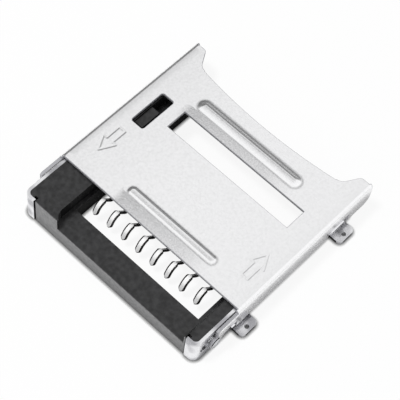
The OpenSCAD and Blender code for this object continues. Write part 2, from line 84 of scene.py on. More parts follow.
def linear(hex_colour):
    """An sRGB hex colour as linear red, green, blue and alpha."""
    parts = [int(hex_colour[i:i + 2], 16) / 255 for i in (1, 3, 5)]
    return tuple(p / 12.92 if p <= 0.04045 else ((p + 0.055) / 1.055) ** 2.4 for p in parts) + (1,)


def node(tree, kind, settings=None, links=None, **attributes):
    """Adds one node: attributes on the node, values on its sockets, links into its sockets."""
    made = tree.nodes.new(kind)
    for name, value in attributes.items():
        setattr(made, name, value)
    for name, value in (settings or {}).items():
        made.inputs[name].default_value = value
    for name, socket in (links or {}).items():
        tree.links.new(socket, made.inputs[name])
    return made


def new_material(name):
    """A material without nodes, and its node tree."""
    made = bpy.data.materials.new(name)
    made.use_nodes = True
    made.node_tree.nodes.clear()
    return made, made.node_tree


def mottle(tree, size, detail=3.0):
    """Noise from 0 to 1 whose marks are about the given size in millimetres."""
    place = node(tree, "ShaderNodeTexCoord").outputs["Object"]
    return node(tree, "ShaderNodeTexNoise", {"Scale": 1 / (size * MM), "Detail": detail},
                {"Vector": place}).outputs[0]


def moulded_lcp():
    """Black glass-filled polymer: dull, with faint flow marks and a fine grain. The front
    face is painted lighter grey in noisy streaks as painted light, and less so towards its foot as painted
    shade."""
    made, tree = new_material("moulded_lcp")
    tone = node(tree, "ShaderNodeValToRGB", {}, {"Fac": mottle(tree, flow_mark, 8.0)})
    for stop, (at, colour) in zip(tone.color_ramp.elements, ((0.36, "#141415"), (0.66, "#2E2E2F"))):
        stop.position, stop.color = at, linear(colour)
    place = node(tree, "ShaderNodeTexCoord").outputs["Object"]
    axes = node(tree, "ShaderNodeSeparateXYZ", {}, {0: place}).outputs
    # Painted light: the front face is painted lighter in streaks, fading to painted shade towards its
    # foot.
    face_y = cad_low.y + housing_front_y * MM
    upper = node(tree, "ShaderNodeMapRange", {"From Max": lit_front_full_z * MM, "To Min": lit_front_foot_share},
                 {"Value": axes["Z"]}).outputs["Result"]
    lit_front_share = node(tree, "ShaderNodeMapRange", {"From Min": face_y + lit_front_depth * MM, "From Max": face_y},
                   {"Value": axes["Y"], "To Max": upper}).outputs["Result"]
    lit_front_streaks = node(tree, "ShaderNodeMix", {"A": linear("#2E2E2F"), "B": linear("#9A9A9B")},
                   {"Factor": mottle(tree, lit_front_streak_size, 6.0)}, data_type="RGBA")
    lit_front_tone = node(tree, "ShaderNodeMix", {}, {"Factor": lit_front_share, "A": tone.outputs["Color"],
                                              "B": lit_front_streaks.outputs["Result"]}, data_type="RGBA")
    relief = node(tree, "ShaderNodeBump", {"Strength": 0.6, "Distance": grain_depth * MM},
                  {"Height": mottle(tree, grain)})
    shader = node(tree, "ShaderNodeBsdfPrincipled", {"Roughness": 0.36, "IOR": 1.52},
                  {"Base Color": lit_front_tone.outputs["Result"], "Normal": relief.outputs["Normal"]})
    node(tree, "ShaderNodeOutputMaterial", {}, {"Surface": shader.outputs[0]})
    return made


def shaded_inner_lcp():
    """The same polymer on the inner walls that look across the housing: matt, and painted
    a deeper black than outside as painted shade."""
    made, tree = new_material("shaded_inner_lcp")
    shader = node(tree, "ShaderNodeBsdfPrincipled", {"Base Color": linear("#0C0C0D"),
                                                     "Roughness": 0.7, "Specular IOR Level": 0.15})
    node(tree, "ShaderNodeOutputMaterial", {}, {"Surface": shader.outputs[0]})
    return made


def inner_shade_faces(mesh):
    """1 for the faces that look straight across towards the housing's middle, inside it."""
    return np.array([abs(face.normal.x) > across_from and face.normal.x * face.center.x < 0
                     for face in mesh.polygons]).astype(np.int32)


def merged_copy(name, made_as):
    """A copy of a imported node's triangles. Corners closer than merge_gap are made one, and
    so are faces that lie within flat_within degrees of each other."""
    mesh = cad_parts[name].data.copy()
    work = bmesh.new()
    work.from_mesh(mesh)
    bmesh.ops.remove_doubles(work, verts=work.verts, dist=merge_gap * MM)
    bmesh.ops.dissolve_limit(work, angle_limit=math.radians(flat_within), verts=work.verts,
                             edges=work.edges)
    work.to_mesh(mesh)
    work.free()
    mesh.materials.clear()
    piece = bpy.data.objects.new(name + made_as, mesh)
    scene.collection.objects.link(piece)
    return piece


def round_edges(piece, radius, turn, offset="ABSOLUTE", material=-1):
    """Rounds each edge that turns more than the given angle in degrees. The flat faces
    beside it then keep their own normals, so that they look flat up to the rounding. The
    rounding takes the given material slot, or else the one beside it. The offset is the
    modifier's own way to measure the radius: along the edges, or square to the rounded one."""
    bevel = piece.modifiers.new("rounded_edges", "BEVEL")
    bevel.width, bevel.segments, bevel.material = radius * MM, 2, material
    bevel.offset_type = offset
    bevel.limit_method, bevel.angle_limit = "ANGLE", math.radians(turn)
    bevel.use_clamp_overlap, bevel.face_strength_mode = False, "FSTR_AFFECTED"
    normals = piece.modifiers.new("flat_faces", "WEIGHTED_NORMAL")
    normals.mode, normals.keep_sharp, normals.use_face_influence = "CORNER_ANGLE", True, True


def finish_piece(piece, body, replaced):
    """Smooth faces, then the piece's body and the node it stands for."""
    piece.data.shade_smooth()
    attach(piece, body)
    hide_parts(replaced)


housing = merged_copy("housing", "_moulding")
housing.data.materials.append(moulded_lcp())
# Painted shade: the inner walls that look across the housing take a deeper, matt black.
housing.data.materials.append(shaded_inner_lcp())
housing.data.polygons.foreach_set("material_index", inner_shade_faces(housing.data))
round_edges(housing, housing_edge_r, least_turn)
finish_piece(housing, "base", "housing")


# Contacts: eight leaf springs stamped from phosphor bronze strip plated with matt tin, and
# pushed into the bar. Each has a flat solder tail, a step up, a run through the bar, a low
# spring, a steep narrow neck and a rounded spoon that the card's pad slides on.
contact_t, contact_edge_w, contact_edge_r = 0.15, 0.11, 0.072
tail_end_y, tail_len, bar_len, run_z = 9.0, 1.6, 2.4, 0.525
spring_bend_r, spring_slope, spring_len = 0.7, 6, 1.06
neck_bend_r, neck_slope, neck_rise_len = 0.35, 50, 0.69
crest_r, spoon_start, spoon_bend_r, spoon_fall, tip_len = 0.15, 12, 0.58, 63, 0.45
tail_w, neck_w, spoon_w = 0.4, 0.24, 0.42
spoon_len, shoulder_len, neck_len, spread_len = 1.03, 0.12, 0.75, 1.2
spoon_dome, widest_corner, side_from, least_step = 0.02, 0.45, 0.2, 1e-6
# How many parts a straight has, degrees per point in a bend and round the strip's corners,
# and how many points there are along the tip and along the widths that change.
straight_parts, bend_step, corner_step, tip_points, width_points = 8, 4, 15, 10, 60
# How far the metals' roughness strays, and the size of worn patches against their marks.
sheen_range, patch_scale = 0.06, 3


def placed(points):
    """Points in millimetres, with Y from the brackets' front, in the model's frame."""
    return np.asarray(points).reshape(-1, 3) * MM + np.array([0, cad_low.y, 0])


def new_piece(name, points, faces):
    """A mesh object at the origin, its normals outwards, from points in millimetres."""
    mesh = bpy.data.meshes.new(name)
    mesh.from_pydata(placed(points), [], faces)
    work = bmesh.new()
    work.from_mesh(mesh)
    bmesh.ops.recalc_face_normals(work, faces=work.faces)
    work.to_mesh(mesh)
    work.free()
    piece = bpy.data.objects.new(name, mesh)
    scene.collection.objects.link(piece)
    return piece


def ring_faces(rows, columns):
    """Quads between closed rings of points, and one face across each end."""
    i, j = np.meshgrid(np.arange(rows - 1), np.arange(columns), indexing="ij")
    k = (j + 1) % columns
    quads = np.stack([i * columns + j, i * columns + k, (i + 1) * columns + k,
                      (i + 1) * columns + j], -1).reshape(-1, 4)
    last = (rows - 1) * columns
    return quads.tolist() + [list(range(columns))[::-1], list(range(last, last + columns))]


def bent_path(y, z, heading, moves):
    """Y, Z and heading in degrees along a strip. Each move goes straight on for a length,
    then round a bend: points at centre - radius * direction(side angle + turned angle)."""
    path = [np.array([[y, z, heading]])]
    for length, radius, angle in moves:
        ahead = np.linspace(0, length, straight_parts + 1)[1:]
        h = math.radians(heading)
        path.append(np.stack([y + ahead * math.cos(h), z + ahead * math.sin(h),
                              np.full(len(ahead), heading)], 1))
        y, z = path[-1][-1, :2]
        turned = np.linspace(0, angle, 2 + round(abs(angle) / bend_step))[1:]
        side = math.radians(heading + math.copysign(90, angle))
        around = side + np.radians(turned)
        path.append(np.stack([y + radius * (math.cos(side) - np.cos(around)),
                              z + radius * (math.sin(side) - np.sin(around)),
                              heading + turned], 1))
        y, z, heading = path[-1][-1]
    return np.concatenate(path)


def contact_path():
    """The strip's middle from the tip to the tail's end: Y, Z, heading and distance, with
    points packed closer where the tip is rounded and where the width changes. It is worked
    out from the tail, and its last bend, at the tip, is next to none."""
    step_r = (run_z - contact_t / 2) / 2
    path = bent_path(tail_end_y, contact_t / 2, 180,
                     [(tail_len - 2 * step_r - contact_t / 2, step_r, -90), (0, step_r, 90),
                      (bar_len + contact_t, spring_bend_r, -spring_slope),
                      (spring_len, neck_bend_r, spring_slope - neck_slope),
                      (neck_rise_len, crest_r, neck_slope + spoon_start),
                      (0, spoon_bend_r, spoon_fall - spoon_start), (tip_len, 1, 0.01)])[::-1]
    steps = np.hypot(*np.diff(path[:, :2], axis=0).T)
    path = path[np.concatenate([[True], steps > least_step])]
    along = np.concatenate([[0], np.cumsum(np.hypot(*np.diff(path[:, :2], axis=0).T))])
    tip = spoon_w / 2 * (1 - np.cos(np.linspace(0, math.pi / 2, tip_points)))
    places = np.unique(np.concatenate([tip, along[along > tip[-1]],
                                       np.linspace(tip[-1], spoon_len + neck_len, width_points)]))
    return np.stack([np.interp(places, along, path[:, i]) for i in range(3)] + [places], 1)


def strip_width(along):
    """The width at a distance from the tip: 2 * sqrt(r ** 2 - (r - distance) ** 2) round the
    tip, then in straight lines along the spoon, its shoulder and the neck, and out to the
    strip. It is nowhere less than the strip's thickness."""
    ends = np.cumsum([0, spoon_len, shoulder_len, neck_len, spread_len])
    width = np.interp(along, ends, [spoon_w, spoon_w, neck_w, neck_w, tail_w])
    r = spoon_w / 2
    rounded = 2 * np.sqrt(np.clip(r * r - (r - np.minimum(along, r)) ** 2, 0, None))
    return np.maximum(np.minimum(width, rounded), contact_t)


def contact_points(x):
    """A rectangle with elliptical corners carried along the path, as wide as strip_width. On
    the spoon its middle is raised by the dome's height * (1 - (2 * across / width) ** 2)."""
    path = contact_path()
    turn = np.radians(path[:, 2])[:, None]
    width = strip_width(path[:, 3])[:, None]
    a = np.radians(np.arange(0, 360, corner_step) + corner_step / 2)
    corner_w = np.minimum(contact_edge_w, widest_corner * width)
    across = np.sign(np.cos(a)) * (width / 2 - corner_w) + corner_w * np.cos(a)
    over = np.sign(np.sin(a)) * (contact_t / 2 - contact_edge_r) + contact_edge_r * np.sin(a)
    on_spoon = np.clip((spoon_len - path[:, 3]) / shoulder_len, 0, 1)[:, None]
    rise = over + spoon_dome * on_spoon * (1 - (2 * across / width) ** 2)
    y = path[:, 0, None] + rise * np.sin(turn)
    z = path[:, 1, None] - rise * np.cos(turn)
    return np.stack([x + across, y, z], -1)


def worked_metal(name, colour, roughness, metallic, mark, relief, worn=None):
    """Plated or rolled metal: a soft sheen, broken up by marks of a given size and depth.
    The real marks are too fine for the picture, so each metal's are made as coarse as they
    need to be to show. It may have a second, worn colour, in soft patches that are larger still."""
    made, tree = new_material(name)
    marks = mottle(tree, mark)
    sheen = node(tree, "ShaderNodeMapRange", {"To Min": roughness - sheen_range,
                                              "To Max": roughness + sheen_range}, {"Value": marks})
    bump = node(tree, "ShaderNodeBump", {"Strength": 1.0, "Distance": relief * MM}, {"Height": marks})
    rubbed = node(tree, "ShaderNodeMapRange", {"From Min": 0.4, "From Max": 0.6},
                  {"Value": mottle(tree, patch_scale * mark, 0.5)})
    tone = node(tree, "ShaderNodeMix", {"A": linear(colour), "B": linear(worn or colour)},
                {"Factor": rubbed.outputs["Result"]}, data_type="RGBA")
    shader = node(tree, "ShaderNodeBsdfPrincipled", {"Metallic": metallic},
                  {"Base Color": tone.outputs["Result"], "Roughness": sheen.outputs["Result"],
                   "Normal": bump.outputs["Normal"]})
    node(tree, "ShaderNodeOutputMaterial", {}, {"Surface": shader.outputs[0]})
    return made


def sheared_sides(rows, columns):
    """1 for what the die cut: the end of the strip's tip, and the quads on its sides, where
    the cosine of the angle round the strip is more than side_from."""
    a = 360 / columns * (np.arange(columns) + 1)
    beside = np.abs(np.cos(np.radians(a))) > side_from
    return np.concatenate([np.tile(beside, rows - 1), [True, False]]).astype(np.int32)


# Matt tin: pale and soft, so that a spoon turned to the lamp is nearly white.
matt_tin = worked_metal("matt_tin_on_bronze", "#FFFFFF", 0.5, 0.1, 0.15, 0.003)
# Where the strip was cut, on its sides and tip: bare bronze, painted near black as painted shade, so that
# each contact has a dark outline.
shaded_cut_bronze = worked_metal("shaded_cut_bronze", "#262422", 0.5, 0.5, 0.1, 0.003)
for number in range(1, 9):
    low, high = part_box("contact_%d" % number)
    points = contact_points((low.x + high.x) / 2 / MM)
    contact = new_piece("contact_%d_strip" % number, points, ring_faces(*points.shape[:2]))
    contact.data.materials.append(matt_tin)
    contact.data.materials.append(shaded_cut_bronze)
    contact.data.polygons.foreach_set("material_index", sheared_sides(*points.shape[:2]))
    finish_piece(contact, "base", "contact_%d" % number)


# Brackets: one on each side, folded from thin steel strip and plated with bright tin, with
# a leg across both ends of the housing and two feet that turn out on to the board.
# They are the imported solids, merged, with the edges rounded as barrelling leaves them.
bracket_edge_r, sheared_w, upright_from = 0.012, 0.25, 0.9999


def sheared_faces(mesh):
    """1 for the upright flat faces that are no wider than the strip is thick, where the
    width is twice the area over the perimeter. The bends' faces lie between the axes."""
    loops = [list(face.vertices) for face in mesh.polygons]
    around = np.array([sum((mesh.vertices[v].co - mesh.vertices[w].co).length
                           for v, w in zip(loop, loop[1:] + loop[:1])) for loop in loops])
    area = np.array([face.area for face in mesh.polygons])
    upright = np.array([max(abs(face.normal.x), abs(face.normal.y)) > upright_from
                        for face in mesh.polygons])
    return (upright & (2 * area / around < sheared_w * MM)).astype(np.int32)


# Bright tin: a soft mirror with a faint bloom, as plated steel has before soldering.
bright_tin = worked_metal("bright_tin_on_steel", "#F2F2F4", 0.24, 1.0, 0.3, 0.006, "#B4B4B8")
# Where the plated strip was cut, on its upright edges only: bare steel, painted near black as painted
# shade, a dark line along them; cut edges that face up stay bright.
shaded_cut_steel = worked_metal("shaded_cut_steel", "#2E2E30", 0.45, 1.0, 0.1, 0.004)
for side in ("left", "right"):
    bracket = merged_copy("bracket_" + side, "_folding")
    bracket.data.materials.append(bright_tin)
    bracket.data.materials.append(shaded_cut_steel)
    bracket.data.polygons.foreach_set("material_index", sheared_faces(bracket.data))
    round_edges(bracket, bracket_edge_r, least_turn)
    finish_piece(bracket, "base", "bracket_" + side)


# Hinge pins: one on each side, turned from steel with a flat head that lies between the
# bracket and the housing. The outer end is spun over the cover's arm into a low dome.
pin_y, pin_z, pin_r = 1.35, 1.0, 0.28
pin_head_r, rivet_r, rivet_rim, turned_edge_r = 0.39, 0.36, 0.02, 0.015
head_in_x, head_out_x, rivet_in_x, rivet_top_x = 6.2, 6.28, 6.81, 6.86
pin_centre_r, turned_steps, dome_points = 0.03, 64, 9


def pin_points(side):
    """The pin's outline, distance from the axis against place along it, turned about the
    axis. The dome falls from its top with the square of the distance."""
    r = np.linspace(rivet_r - turned_edge_r, pin_centre_r, dome_points)
    dome_x = rivet_top_x - (rivet_top_x - rivet_in_x - rivet_rim) * (r / rivet_r) ** 2
    outline = np.array([(pin_centre_r, head_in_x), (pin_head_r - turned_edge_r, head_in_x),
                        (pin_head_r, head_in_x + turned_edge_r),
                        (pin_head_r, head_out_x - turned_edge_r),
                        (pin_head_r - turned_edge_r, head_out_x), (pin_r, head_out_x),
                        (pin_r, rivet_in_x), (rivet_r - turned_edge_r, rivet_in_x),
                        (rivet_r, rivet_in_x + turned_edge_r)] + list(zip(r, dome_x)))
    a = np.radians(np.arange(0, 360, 360 / turned_steps))
    x = np.broadcast_to(side * outline[:, 1:], (len(outline), len(a)))
    return np.stack([x, pin_y + outline[:, :1] * np.cos(a), pin_z + outline[:, :1] * np.sin(a)], -1)


# Turned steel: brighter and smoother than the sheet round it.
turned_steel = worked_metal("turned_steel", "#C9CACC", 0.22, 1.0, 0.1, 0.002)
for side, name in ((-1, "left"), (1, "right")):
    points = pin_points(side)
    pin = new_piece("hinge_pin_%s_turning" % name, points, ring_faces(*points.shape[:2]))
    pin.data.materials.append(turned_steel)
    finish_piece(pin, "pins", "hinge_pin_" + name)


# Cover: a lid of rolled stainless sheet. The flat blank is cut out with its windows and its
# pin holes, stamped with two arrows and two stiffening beads, and its sides are folded down.
# Here the flat blank's mesh is pressed and folded by formula, for its face and its inner side.
cover_t, cover_edge_r, cover_least_turn = 0.2, 0.035, 50
plate_top, fold_r, fold_x = 2.3, 0.28, 6.5
front_y, flange_front_y, flange_z, flange_corner_r = 3.1, 2.97, 0.67, 0.6
step_x, step_z = 6.58, 2.1
arm_y, arm_low_z, arm_corner_r, eye_r, eye_lean, eye_hole_r = 1.45, 1.3, 0.2, 0.42, 20, 0.3
relief_y, relief_end_y, relief_z = 10.55, 12.2, 1.35
tongue_y, tongue_end_y, tongue_fold_r, tongue_fold_z, tongue_tip_x = 11.0, 11.9, 0.22, 1.37, 6.2
far_y, ear_y, edge_y, edge_r = 14.1, 14.0, 12.5, 35
ear_root_x, ear_tip_x, ear_fillet, ear_tip_r = 5.33, 5.98, 0.6, 0.25
window = (-3.9, 5.14, 8.62, 10.04)
key_slot, key_slot_r = (-5.66, -4.76, 7.47, 10.05), 0.14
arrow_x, arrow_y, arrow_len, arrow_head_len = 5.54, 4.75, 1.9, 0.9
arrow_head_w, arrow_shaft_w, arrow_line_w, arrow_depth = 0.95, 0.45, 0.21, 0.014
near_bead, far_bead = (-2.59, 3.92, 4.22), (-3.78, 3.95, 11.1)
near_bead_w, near_bead_h, near_bead_crest_w = 0.64, 0.1, 0.26
far_bead_w, far_bead_h = 0.96, 0.2
# Where the sheet is painted greyer, as painted shade and painted dark reflections: before
# the beads, round their feet, along their crests, and down the flanges. How far the crests'
# shade lies forward and its width are shares of a bead's width, and the ends are shares of its length.
near_reach, far_reach, foot_line_w = 1.1, 0.9, 0.06
right_end, right_level, past_left_end = 0.25, 0.4, 0.05
crest_shade_forward, crest_shade_w, crest_shade_level = 0.08, 0.15, 0.65
flange_shade_z, flange_shade_fade, flange_shade_level = 1.9, 0.5, 0.45
# The marks of rolling, and the size of the noise that breaks up the painted shade. The
# rolling marks are finer than the picture's pixels, and are made as coarse as they must be to show.
rolled_mark, rolled_depth, shade_mark, haze_level = 0.14, 0.003, 0.07, 0.05
# How close the points of the blank's mesh lie. Closer than a hair, they are one point.
outline_step, outline_clear, plate_step, side_step, row_step = 0.07, 0.08, 0.45, 0.2, 0.1
side_start_y, fold_start_y = 1, 1.5
fold_step, tongue_step, bead_step, bead_margin = 10, 0.05, 0.05, 0.15
arrow_step, arrow_margin_x, arrow_margin_y = 0.03, 0.6, 0.1
corner_steps, eye_steps, ear_steps, far_edge_steps = 6, 36, 12, 60
hair = 1e-4


def fold_place(z):
    """The place across the blank of a height on the folded side. In the fold it is
    fold_x + radius * angle, where the angle's cosine is the height above the fold / radius."""
    upright_z = plate_top - fold_r
    if z > upright_z:
        return fold_x + fold_r * math.acos((z - upright_z) / fold_r)
    return fold_x + fold_r * math.pi / 2 + upright_z - z


def arc(centre, radius, start, end, steps):
    """Points at centre + radius * (cos, sin) from one angle to another, in degrees."""
    a = np.radians(np.linspace(start, end, steps + 1))
    return np.stack([centre[0] + radius * np.cos(a), centre[1] + radius * np.sin(a)], 1)


def rounded_rectangle(x0, x1, y0, y1, r):
    """A rectangle's outline with round corners."""
    return np.concatenate([arc((x, y), r, start, start + 90, corner_steps) for x, y, start in
                           ((x1 - r, y0 + r, -90), (x1 - r, y1 - r, 0),
                            (x0 + r, y1 - r, 90), (x0 + r, y0 + r, 180))])


def far_edge():
    """Half of the free edge, from the middle: a wide arc, a fillet into the ear's inner side,
    which leans by the angle from its root to its tip, and an arc over the tip."""
    root_y = edge_y + edge_r - math.sqrt(edge_r ** 2 - ear_root_x ** 2)
    lean = math.degrees(math.atan2(ear_y - root_y, ear_tip_x - ear_root_x))
    corner = (ear_root_x - ear_fillet * math.tan(math.radians(lean / 2)), root_y + ear_fillet)
    sweep = math.degrees(math.asin(corner[0] / edge_r))
    tip = (ear_tip_x + ear_tip_r * math.tan(math.radians(lean / 2)), ear_y - ear_tip_r)
    return np.concatenate([arc((0, edge_y + edge_r), edge_r, -90, sweep - 90, far_edge_steps),
                           arc(corner, ear_fillet, -90, lean - 90, ear_steps)[1:],
                           arc(tip, ear_tip_r, lean + 90, 90, corner_steps)])


def half_outline():
    """The blank's right half, from the middle of the front edge round to the middle of the
    free edge: the step, the hinge arm with its eye, the flange with its relief and lock
    tongue, the rounded far corner, the ear and the curved edge."""
    s_step, s_low, s_arm_low = fold_place(step_z), fold_place(flange_z), fold_place(arm_low_z)
    s_relief, s_eye = fold_place(relief_z), fold_place(pin_z)
    start = math.degrees(math.acos((arm_y - pin_y) / eye_r))
    eye = arc((pin_y, pin_z), eye_r, start, 360 - eye_lean, eye_steps)
    eye_blank = np.stack([s_eye + pin_z - eye[:, 1], eye[:, 0]], 1)
    web_y = eye[-1, 0] + (arm_low_z - eye[-1, 1]) * math.tan(math.radians(eye_lean))
    tongue_end = (fold_place(tongue_fold_z) + tongue_fold_r * math.pi / 2
                  + step_x + cover_t - tongue_fold_r - tongue_tip_x)
    return np.concatenate([
        [(0, front_y), (step_x, front_y), (step_x, flange_front_y), (s_step, flange_front_y)],
        arc((s_step + arm_corner_r, arm_y + arm_corner_r), arm_corner_r, 180, 270, corner_steps),
        eye_blank,
        [(s_arm_low, web_y), (s_arm_low, flange_front_y), (s_low, flange_front_y),
         (s_low, relief_y), (s_relief, relief_y), (s_relief, tongue_y), (tongue_end, tongue_y),
         (tongue_end, tongue_end_y), (s_relief, tongue_end_y), (s_relief, relief_end_y),
         (s_low, relief_end_y)],
        arc((s_low - flange_corner_r, far_y - flange_corner_r), flange_corner_r, 0, 90, 8),
        [(step_x, far_y), (step_x, ear_y)], far_edge()[::-1]])


def subdivided(outline, step):
    """A closed outline with points added so that none of its sides is longer than a step: in
    a side of n parts, point i lies at start + i / n * side."""
    side = np.roll(outline, -1, axis=0) - outline
    parts = np.maximum(1, np.ceil(np.hypot(*side.T) / step)).astype(int)
    i = np.arange(parts.sum()) - np.repeat(np.cumsum(parts) - parts, parts)
    share = (i / np.repeat(parts, parts))[:, None]
    return np.repeat(outline, parts, axis=0) + share * np.repeat(side, parts, axis=0)


def cover_loops():
    """The blank's outline and its holes."""
    half = half_outline()
    mirrored = half[-2:0:-1] * (-1, 1)
    s_eye = fold_place(pin_z)
    x0, x1, y0, y1 = window
    loops = [np.concatenate([half, mirrored]), np.array([(x0, y0), (x1, y0), (x1, y1), (x0, y1)]),
             rounded_rectangle(*key_slot, key_slot_r)]
    loops += [arc((side * s_eye, pin_y), eye_hole_r, 0, 360, eye_steps)[:-1] for side in (-1, 1)]
    return [subdivided(loop, outline_step) for loop in loops]


def grid(x0, x1, y0, y1, apart_x, apart_y):
    """Evenly spaced points over a rectangle, about as far apart each way as is asked."""
    x = np.linspace(x0, x1, max(2, 1 + round((x1 - x0) / apart_x)))
    y = np.linspace(y0, y1, max(2, 1 + round((y1 - y0) / apart_y)))
    return np.stack(np.meshgrid(x, y, indexing="ij"), -1).reshape(-1, 2)


def cover_fill():
    """Points inside the blank: a wide grid, rows along the folds, and close grids where the
    beads and the arrows are pressed."""
    s_low, s_tongue = fold_place(flange_z), fold_place(tongue_fold_z)
    rows = fold_x + fold_r * np.radians(np.arange(0, 91, fold_step))
    side = grid(rows[-1] + side_step, s_low, side_start_y, far_y, side_step, side_step)
    tongue = grid(s_tongue, s_tongue + tongue_fold_r * math.pi / 2, tongue_y, tongue_end_y,
                  tongue_step, side_step)
    folds = np.stack(np.meshgrid(rows, np.arange(fold_start_y, far_y, row_step), indexing="ij"), -1)
    right = np.concatenate([side, tongue, folds.reshape(-1, 2)])
    beads = []
    for (left, end, y), width in ((near_bead, near_bead_w), (far_bead, far_bead_w)):
        reach = width / 2 + bead_margin
        beads.append(grid(left, end, y - reach, y + reach, row_step, bead_step))
        beads += [grid(x - reach, x + reach, y - reach, y + reach, bead_step, bead_step)
                  for x in (left + width / 2, end - width / 2)]
    arrows = [grid(x - arrow_margin_x, x + arrow_margin_x, arrow_y - arrow_margin_y,
                   arrow_y + arrow_len + arrow_margin_y, arrow_step, arrow_step)
              for x in (-arrow_x, arrow_x)]
    plate = grid(-fold_x, fold_x, front_y + row_step, far_y, plate_step, plate_step)
    return np.concatenate([right, right * (-1, 1), plate] + beads + arrows)


def inside(points, loop):
    """Which points a loop encloses: an odd number of its sides cross the line to +X."""
    x, y = points[:, :1], points[:, 1:]
    (x0, y0), (x1, y1) = loop.T, np.roll(loop, -1, axis=0).T
    rise = np.where(y1 == y0, 1, y1 - y0)
    return (((y0 > y) != (y1 > y)) & (x < x0 + (y - y0) * (x1 - x0) / rise)).sum(1) % 2 == 1


def loop_distance(points, loop):
    """The distance from each point to the nearest side of a closed loop, where it meets the
    side at start + share * side, with the share held between 0 and 1."""
    start, along = loop, np.roll(loop, -1, axis=0) - loop
    away = points[:, None] - start
    share = np.clip((away * along).sum(2) / (along ** 2).sum(1), 0, 1)
    return np.hypot(*(away - share[..., None] * along).transpose(2, 0, 1)).min(1)


def cut_blank(loops, fill, clearance):
    """Triangles over a flat blank. Loops stay as edges, and fill points too near are left out."""
    near = np.minimum.reduce([loop_distance(fill, loop) for loop in loops])
    fill = np.unique(np.round(fill[near > clearance] / hair), axis=0) * hair
    counts = [len(loop) for loop in loops]
    rings = np.split(np.arange(sum(counts)), np.cumsum(counts)[:-1])
    edges = np.concatenate([np.stack([ring, np.roll(ring, -1)], 1) for ring in rings]).tolist()
    made = delaunay_2d_cdt(np.concatenate(loops + [fill]).tolist(), edges, [], 0, hair)
    flat, faces = np.array([tuple(p) for p in made[0]]), np.array(made[2])
    middle = flat[faces].mean(1)
    kept = inside(middle, loops[0])
    for loop in loops[1:]:
        kept &= ~inside(middle, loop)
    used, numbers = np.unique(faces[kept], return_inverse=True)
    return flat[used], numbers.reshape(-1, 3)


def bead_distance(flat, bead, width):
    """The distance from the middle line of a bead, whose ends are round."""
    left, right, y = bead
    x = np.clip(flat[:, 0], left + width / 2, right - width / 2)
    return np.hypot(flat[:, 0] - x, flat[:, 1] - y)


def pressed_height(flat):
    """Height of the plate above its level. The wide bead is height / 2 * (1 + cos) across its
    width, the narrow one has a flat crest between smooth steps, and the arrows are grooves."""
    wide = np.clip(bead_distance(flat, far_bead, far_bead_w) / (far_bead_w / 2), 0, 1)
    height = far_bead_h / 2 * (1 + np.cos(math.pi * wide))
    slope_w = (near_bead_w - near_bead_crest_w) / 2
    narrow = bead_distance(flat, near_bead, near_bead_w) - near_bead_crest_w / 2
    narrow = np.clip(narrow / slope_w, 0, 1)
    height += near_bead_h * (1 - narrow ** 2 * (3 - 2 * narrow))
    half_shaft, neck = arrow_shaft_w / 2, arrow_len - arrow_head_len
    shape = np.array([(-half_shaft, 0), (half_shaft, 0), (half_shaft, neck), (arrow_head_w / 2, neck),
                      (0, arrow_len), (-arrow_head_w / 2, neck), (-half_shaft, neck)])
    for loop in (shape + (arrow_x, arrow_y), (0, arrow_len) - shape + (-arrow_x, arrow_y)):
        near = (np.abs(flat - loop.mean(0)) < arrow_len).all(1)
        across = np.clip(loop_distance(flat[near], loop) / (arrow_line_w / 2), 0, 1)
        height[near] -= arrow_depth / 2 * (1 + np.cos(math.pi * across))
    return height


def folded(flat, depth):
    """Blank to cover, for the face or for a layer at a depth below it. Past the fold line a
    point turns by its distance / the face's radius, on a circle smaller by the depth, then
    goes straight down. In the lock tongue it turns once more, and goes straight inwards."""
    side, s = np.sign(flat[:, 0]), np.abs(flat[:, 0])
    y = flat[:, 1]
    turn = np.clip((s - fold_x) / fold_r, 0, math.pi / 2)
    down = np.clip(s - fold_x - fold_r * math.pi / 2, 0, None)
    x = np.minimum(s, fold_x) + (fold_r - depth) * np.sin(turn)
    z = plate_top - fold_r + (fold_r - depth) * np.cos(turn) - down
    s_tongue = fold_place(tongue_fold_z)
    in_tongue = (s > s_tongue) & (y > tongue_y - hair) & (y < tongue_end_y + hair)
    bend = np.clip((s - s_tongue) / tongue_fold_r, 0, math.pi / 2)
    straight = np.clip(s - s_tongue - tongue_fold_r * math.pi / 2, 0, None)
    x = np.where(in_tongue, x - (tongue_fold_r - depth) * (1 - np.cos(bend)) - straight, x)
    z = np.where(in_tongue, tongue_fold_z - (tongue_fold_r - depth) * np.sin(bend), z)
    return np.stack([side * x, y, z + np.where(s < fold_x, pressed_height(flat), 0)], 1)


def sheet_faces(triangles, count):
    """The face's triangles, the same ones turned over for the inner side, and a quad from
    each edge that only one triangle has down to the inner side."""
    edges = np.concatenate([triangles[:, [0, 1]], triangles[:, [1, 2]], triangles[:, [2, 0]]])
    shared = np.isin(edges[:, 0] * count + edges[:, 1], edges[:, 1] * count + edges[:, 0])
    a, b = edges[~shared].T
    rim = np.stack([b, a, a + count, b + count], 1)
    return triangles.tolist() + (triangles[:, ::-1] + count).tolist() + rim.tolist()


